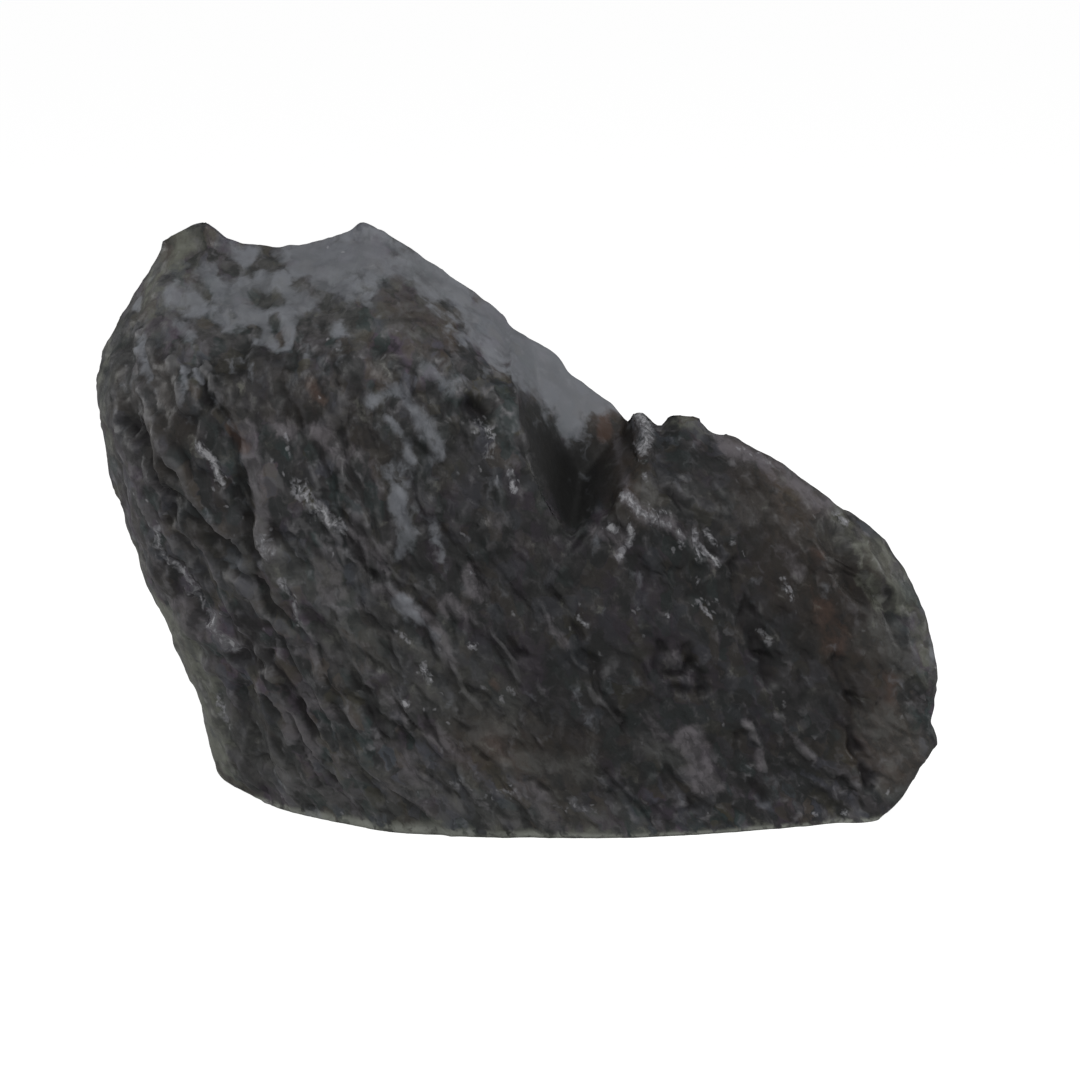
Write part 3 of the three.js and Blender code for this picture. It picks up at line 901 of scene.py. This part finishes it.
class Graph:
    """The nodes of one material, or of the surround."""

    def __init__(self, owner):
        owner.use_nodes = True
        self.owner, self.tree = owner, owner.node_tree

    def node(self, kind, settings, inputs, output=0):
        """Adds a node, makes its settings, then sets or links its inputs. Gives one output."""
        node = self.tree.nodes.new(kind)
        for name, value in settings.items():
            setattr(node, name, value)
        for name, value in inputs.items():
            self.put(node.inputs[name], value)
        return Wire(self, node.outputs[output])

    def put(self, socket, value):
        """Links a wire to a socket, or sets the socket to a number or a colour."""
        if isinstance(value, Wire):
            self.tree.links.new(value.socket, socket)
        elif socket.type == "RGBA":
            socket.default_value = (*value, 1)
        else:
            socket.default_value = value

    def finish(self, name, value):
        """Links or sets one of the shader's own sockets."""
        self.put(self.tree.nodes["Principled BSDF"].inputs[name], value)

    def field(self, name):
        """A value kept on the mesh."""
        return self.node("ShaderNodeAttribute", {"attribute_name": name}, {}, "Fac")

    def vector(self, operation, *values, output=0):
        """Vector arithmetic."""
        inputs = dict(enumerate(values))
        return self.node("ShaderNodeVectorMath", {"operation": operation}, inputs, output)

    def cloud(self, vector, scale, detail, roughness=0.55, output="Fac"):
        """Fractal noise from 0 to 1, as a value or as a colour."""
        inputs = {"Vector": vector, "Scale": scale, "Detail": detail, "Roughness": roughness}
        return self.node("ShaderNodeTexNoise", {}, inputs, output)

    def cells(self, vector, scale):
        """Distance to the nearest of a scatter of points. Its other outputs are the point's place and
        a random colour that belongs to it."""
        inputs = {"Vector": vector, "Scale": scale}
        return self.node("ShaderNodeTexVoronoi", {"feature": "F1"}, inputs, "Distance")

    def patches(self, vector, scale):
        """A random colour for each of a scatter of points, melting softly into its neighbours."""
        inputs = {"Vector": vector, "Scale": scale, "Smoothness": 0.35}
        return self.node("ShaderNodeTexVoronoi", {"feature": "SMOOTH_F1"}, inputs, "Color")

    def facets(self, vector, scale):
        """Height of a surface of tilted facets: each cell's random colour is the slope of its plane,
        measured from the cell's own point, plus a random height for the whole cell."""
        cell = self.cells(vector, scale)
        away = self.vector("SUBTRACT", vector, cell.also("Position"))
        slope = self.vector("SUBTRACT", cell.also("Color"), (0.5, 0.5, 0.5))
        rise = cell.also("Color").channel("Blue")
        return self.vector("DOT_PRODUCT", away, slope, output="Value") * (1.6 * scale) + 0.5 * rise

    def blend(self, share, first, second):
        """Colour first turning into colour second as share goes from 0 to 1."""
        return self.node("ShaderNodeMix", {"data_type": "RGBA"}, {0: share, 6: first, 7: second}, 2)

    def paint(self, share, colour):
        """Lays a colour over what is painted so far, which it hides where share is 1."""
        self.painted = self.blend(share, self.painted, colour)


def schist():
    """Dark foliated rock. Most masks are a field plus noise, stepped, so that their edges are frayed."""
    g = Graph(bpy.data.materials.new("schist"))
    tone, height_above_mean, edge, streak, crack = map(g.field, ("tone", "height_above_mean", "edge", "streak", "crack"))
    cleft, lime, pale, glint_highlights, rust = map(g.field, ("cleft", "lime", "pale", "glint_highlights", "rust"))
    algae, brown, damp_and_shade, foot, veiled_and_edge_lit = map(g.field, ("algae", "brown", "damp_and_shade", "foot", "veiled_and_edge_lit"))
    grain = g.field("grain").also("Vector")
    bent = g.vector("MULTIPLY_ADD", g.cloud(grain, 0.3, 3, output="Color"), (4, 4, 4), grain)
    short = g.vector("MULTIPLY", bent, (1, 0.55, 0.62))
    long = g.vector("MULTIPLY", bent, (1, 0.55, 0.36))
    patchy = g.cloud(short, 0.28, 4, 0.58)
    fleck = g.cloud(short, 1.1, 2, 0.5)

    def frayed(field, fray, low, high):
        """0 where a field is below low and 1 where it is above high, with the patchy noise added."""
        return (field + (patchy - 0.5) * fray).step(low, high)

    # Body colour: each leaf has its own tone of grey, mottled and streaked along the grain.
    mottle = 0.5 * g.cloud(short, 0.3, 4, 0.58) + 0.5 * g.cloud(long, 0.42, 3, 0.58)
    clumps = mottle.step(0.42, 0.58)
    patch = g.patches(short, 0.34)
    broad = g.cloud(short, 0.12, 2)
    shade = 0.25 * tone + 0.85 * mottle + 0.3 * patch.channel("Red") + 0.5 * broad - 0.45
    g.painted = g.blend(shade.step(0.4, 0.62), (0.0212, 0.0226, 0.0232), (0.050, 0.0463, 0.0485))
    g.paint(shade.step(0.56, 0.7) * 0.9, (0.089, 0.085, 0.095))

    # Tinges of violet, teal, olive and blue: the noise, its scale and its share against the patches'
    # own channel, the height at which the tinge begins, how strong it is, and its colour.
    tinges = [
        (long, 0.08, 0.7, "Green", 0.5, 0.66 - 0.35 * brown, (0.072, 0.052, 0.077)),
        (short, 0.1, 0.6, "Blue", 0.54, 0.5 - 0.25 * brown, (0.030, 0.050, 0.049)),
        (short, 0.14, 0.6, "Green", 0.54, 0.6, (0.056, 0.050, 0.029)),
        (short, 0.17, 0.6, "Red", 0.56, 0.55, (0.050, 0.055, 0.071)),
    ]
    for vector, scale, share, channel, begins, strength, colour in tinges:
        where = share * g.cloud(vector, scale, 3) + (1 - share) * patch.channel(channel)
        g.paint(where.step(begins, begins + 0.12) * strength, colour)
    g.paint(frayed(brown, 1.5, 0, 0.8) * 0.7, (0.055, 0.039, 0.028))
    g.paint((1 - mottle).step(0.54, 0.6) * 0.55, (0.0132, 0.0137, 0.0140))
    # Painted dark: damp rock, and painted shade in hollows, grooves and on the lobe's up-facing top.
    g.paint(frayed(damp_and_shade, 1.6, 0.1, 0.9) * 0.68, (0.0102, 0.0103, 0.0102))

    # Pale quartz in clumps with a bright core, and on the harder places.
    quartz = g.cloud(short, 0.42, 2, 0.5) + 0.12 * height_above_mean
    rare = 0.48 - 0.32 * damp_and_shade.step(0, 1.4) - 0.14 * brown
    g.paint(quartz.step(0.53, 0.72) * rare, (0.13, 0.126, 0.134))
    g.paint(quartz.step(0.65, 0.8) * rare, (0.21, 0.208, 0.216))
    g.paint(frayed(pale, 2.4, 0.3, 1.1) * (0.35 + 0.65 * clumps) * 0.8, (0.135, 0.124, 0.134))

    # Crests and thin ridges painted pale: partly rubbed wear, partly painted highlight. Grooves, cracks,
    # the feet of ridges and the hollows painted dark: partly soil, partly painted shade.
    crest = (0.6 * height_above_mean + 0.6 * edge + (fleck - 0.5) * 0.6).step(0.25, 0.9)
    groove = (-0.7 * height_above_mean - 0.5 * edge + (fleck - 0.5) * 0.4).step(0.15, 0.7)
    # Painted highlight, with wear, on the crests and the thin ridges.
    g.paint(crest * (0.25 - 0.12 * damp_and_shade), (0.13, 0.128, 0.134))
    g.paint(frayed(streak * 1.2, 1.4, 0.35, 0.95) * (0.34 - 0.1 * damp_and_shade), (0.14, 0.138, 0.142))
    # Painted shade, with soil, in the grooves.
    g.paint(groove * 0.4, (0.012, 0.012, 0.012))
    # Painted shade in the cracks, under the ridges and in the hollows.
    g.paint(crack.step(0.2, 0.8) * 0.75, (0.0095, 0.008, 0.009))

    # Stains and dust, painted light along the edges and at the foot (which the saw also bruised pale),
    # and painted shade inside the cleft.
    rusty = frayed(rust, 2.0, 0.35, 1.0)
    g.paint(rusty * 0.48, (0.092, 0.052, 0.038))
    # Pale patches: dust, and painted light along the edges and the foot.
    g.paint(frayed(veiled_and_edge_lit, 1.5, 0, 0.9) * (0.4 + 0.6 * clumps) * 0.6, (0.095, 0.096, 0.091))
    green = frayed(algae, 2.0, 0.2, 0.9) * (0.3 + 0.7 * clumps)
    g.paint(green * 0.8, (0.14, 0.146, 0.121))
    g.paint(green * quartz.step(0.56, 0.68) * 0.5, (0.2, 0.2, 0.19))
    # The foot painted pale: the saw's bruising, and painted light where the white floor shines onto the
    # base; the brightest line along the base is painted light.
    g.paint(frayed(foot, 2.4, 0.35, 0.95) * 0.65, (0.135, 0.14, 0.118))
    g.paint(foot.step(0.5, 0.85) * patchy.step(0.42, 0.54) * 0.75, (0.27, 0.28, 0.25))
    # Painted shade: the inside of the cleft is painted near black for the shade that falls in it.
    painted_cleft_shade = cleft.step(0.02, 0.25) * (1 - lime)
    g.paint(painted_cleft_shade * (0.93 - 0.5 * rusty - 0.5 * brown), (0.0088, 0.0089, 0.0085))

    # The skin of lime, with soft ragged edges, holes, and thin places. It is even where it is strong.
    skin = (lime + (g.cloud(short, 0.2, 4, 0.56) - 0.5) * 2.6 - 0.15 * crack).step(0.28, 0.88)
    even = lime.step(0.9, 1.25)
    uneven = (0.5 * g.cloud(short, 0.14, 3) + 0.5 * mottle).step(0.38, 0.6)
    thickness = uneven * (1 - even) + (0.5 + 0.22 * cleft) * even
    g.paint(skin * (0.4 + 0.41 * thickness), (0.2, 0.21, 0.231))

    # Glints: painted highlights of tiny mica crystals and curled seams on the polished places, and a few
    # strays elsewhere, laid bright into the colour.
    mica = g.cells(short, 0.85)
    lucky = mica.also("Color").channel("Red")
    cluster = g.cloud(long, 0.12, 3).step(0.55, 0.7) * 0.08 + 0.4 * glint_highlights
    speck_highlight = (lucky + cluster).step(0.97, 1.03) * (1 - mica.step(0.15, 0.45))
    curl = g.cloud(short, 0.24, 2, 0.5)
    squiggle = 1 - (curl - 0.5).math("ABSOLUTE").step(0.015, 0.055)
    squiggle = squiggle * frayed(glint_highlights, 1.2, 0.5, 0.85) * fleck.step(0.3, 0.6)
    polish_highlight = glint_highlights + (fleck - 0.5) * 2.4 + (patchy - 0.5)
    highlights_outside_cleft = 1 - cleft.step(0.05, 0.3)
    # Painted highlights: the curled seams, the specks and the polished places are painted near white.
    g.paint(highlights_outside_cleft * squiggle * 0.6, (0.28, 0.278, 0.3))
    g.paint(highlights_outside_cleft * speck_highlight * (0.45 - 0.12 * damp_and_shade), (0.38, 0.38, 0.4))
    g.paint(highlights_outside_cleft * polish_highlight.step(0.7, 1.2) * 0.5, (0.17, 0.172, 0.182))
    g.paint(highlights_outside_cleft * polish_highlight.step(1.15, 1.65) * 0.75, (0.36, 0.36, 0.375))
    g.finish("Base Color", g.painted)

    # Gloss: waxy where it glints, dull in patches, in the grooves and the cleft, and under the lime.
    dull = g.cloud(short, 0.45, 3).step(0.3, 0.7)
    roughness = 0.44 + 0.18 * dull + 0.14 * skin - 0.2 * glint_highlights + 0.2 * groove + 0.25 * painted_cleft_shade
    g.finish("Roughness", roughness)
    g.finish("Specular IOR Level", 0.32)

    # Fine relief: flakes of two sizes, streaks along the grain, and the curled seams.
    tall = 0.15 * g.facets(short, 0.42) + 0.02 * g.facets(short, 1.1) + 0.2 * g.cloud(long, 0.6, 2, 0.5)
    tall = tall * (1 - 0.5 * skin - 0.3 * even) * (1 - cleft.step(0, 0.4)) + 0.12 * squiggle
    inputs = {"Strength": 1.0, "Distance": MM, "Height": tall}
    g.finish("Normal", g.node("ShaderNodeBump", {}, inputs, "Normal"))
    return g.owner


stone.data.materials.append(schist())

# ------------------------------------------------------------
# The studio: a pale floor that fades into a white surround, a soft light overhead with others in front
# and at both sides, and the camera a little above the stone, on a long lens.

FLOOR_HALF_SIZE = 6.0
LIT_POINT = (0, 0, 0.06)  # all the lights are turned to this point
# The soft lights: name, place, side of the square, power.
LIGHTS = [
    ("overhead", (0.2, -0.45, 0.65), 0.34, 3.3),
    ("front_fill", (-0.6, -1.0, 0.3), 0.7, 3.1),
    ("left_edge", (-0.8, 0.12, 0.2), 0.4, 2.6),
    ("right_edge", (0.8, 0.12, 0.3), 0.4, 1.7),
]
CAMERA_RISE = np.radians(13.0)
CAMERA_DISTANCE = 0.853
CAMERA_AIM = (0.0057, 0.0, 0.0635)

floor_mesh = bpy.data.meshes.new("floor")
corners = np.array([(-1, -1, 0), (1, -1, 0), (1, 1, 0), (-1, 1, 0)]) * FLOOR_HALF_SIZE
floor_mesh.from_pydata(corners.tolist(), [], [(0, 1, 2, 3)])
floor = bpy.data.objects.new("floor", floor_mesh)
bpy.context.scene.collection.objects.link(floor)
paper = Graph(bpy.data.materials.new("white_paper"))
paper.finish("Base Color", (0.3, 0.3, 0.3))
paper.finish("Roughness", 0.9)
paper.finish("Emission Strength", 0.95)
seen_directly = paper.node("ShaderNodeLightPath", {}, {}, "Is Camera Ray")
paper.finish("Emission Color", paper.blend(seen_directly, (0.16, 0.16, 0.16), (1, 1, 1)))
floor.data.materials.append(paper.owner)

surround = Graph(bpy.data.worlds.new("surround"))
lit = surround.node("ShaderNodeBackground", {}, {"Color": (1, 1, 1), "Strength": 0.1})
seen = surround.node("ShaderNodeBackground", {}, {"Color": (1, 1, 1), "Strength": 1.0})
seen_directly = surround.node("ShaderNodeLightPath", {}, {}, "Is Camera Ray")
either = surround.node("ShaderNodeMixShader", {}, {0: seen_directly, 1: lit, 2: seen})
surround.put(surround.tree.nodes["World Output"].inputs["Surface"], either)
bpy.context.scene.world = surround.owner
bpy.context.scene.view_settings.view_transform = "Standard"


def looking(name, data, place, direction):
    """Stands a light or a camera at a place, turned to look along a direction."""
    thing = bpy.data.objects.new(name, data)
    thing.location = place
    thing.rotation_euler = Vector(direction).to_track_quat("-Z", "Y").to_euler()
    bpy.context.scene.collection.objects.link(thing)
    return thing


for name, place, side, power in LIGHTS:
    light = bpy.data.lights.new(name, "AREA")
    light.shape, light.size, light.energy = "SQUARE", side, power
    looking(name, light, place, np.subtract(LIT_POINT, place))

away = np.array([0, -np.cos(CAMERA_RISE), np.sin(CAMERA_RISE)])
lens = bpy.data.cameras.new("camera")
lens.lens, lens.sensor_width = 120, 36  # mm
camera_place = CAMERA_AIM + shift * MM + away * CAMERA_DISTANCE
bpy.context.scene.camera = looking("camera", lens, camera_place, -away)
